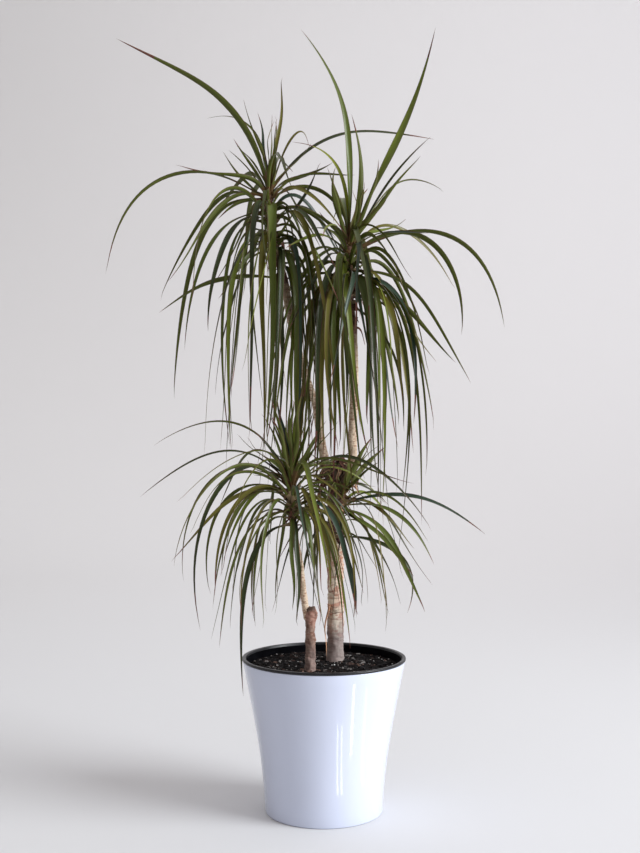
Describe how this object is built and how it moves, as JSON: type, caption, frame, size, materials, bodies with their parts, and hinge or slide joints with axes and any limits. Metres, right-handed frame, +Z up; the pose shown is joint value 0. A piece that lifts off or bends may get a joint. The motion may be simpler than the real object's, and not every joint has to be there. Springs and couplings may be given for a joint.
{
  "type": "potted madagascar dragon tree",
  "caption": "Potted dragon tree: two bare canes with crowns of long narrow arching leaves, in a tapered glossy white pot with a dark inner liner and bark soil.",
  "frame": {"origin": "centre of the flat underside of the pot", "axes": "+Z up along the pot's axis, +X to the right as seen from the front, +Y towards the back"},
  "size_m": [0.6989, 0.586, 1.352],
  "materials": {
    "glaze": "high gloss white",
    "liner": "satin near-black",
    "soil": "rough bark mix",
    "cane": "ringed bark",
    "stem": "young ringed bark",
    "leaf": "satin leaf"
  },
  "bodies": {
    "root": {"pot_shell": "glaze", "inner_pot": "liner", "soil": "soil", "tall_cane": "cane", "short_cane": "cane", "left_stem": "stem", "right_stem": "stem", "short_cane_shoot": "stem", "side_shoot": "stem", "left_crown_skirt": "leaf", "left_crown_arching_leaves": "leaf", "left_crown_spears": "leaf", "right_crown_skirt": "leaf", "right_crown_arching_leaves": "leaf", "right_crown_spears": "leaf", "front_crown_skirt": "leaf", "front_crown_spears": "leaf", "side_crown_skirt": "leaf", "side_crown_spears": "leaf"}
  },
  "joints": []
}
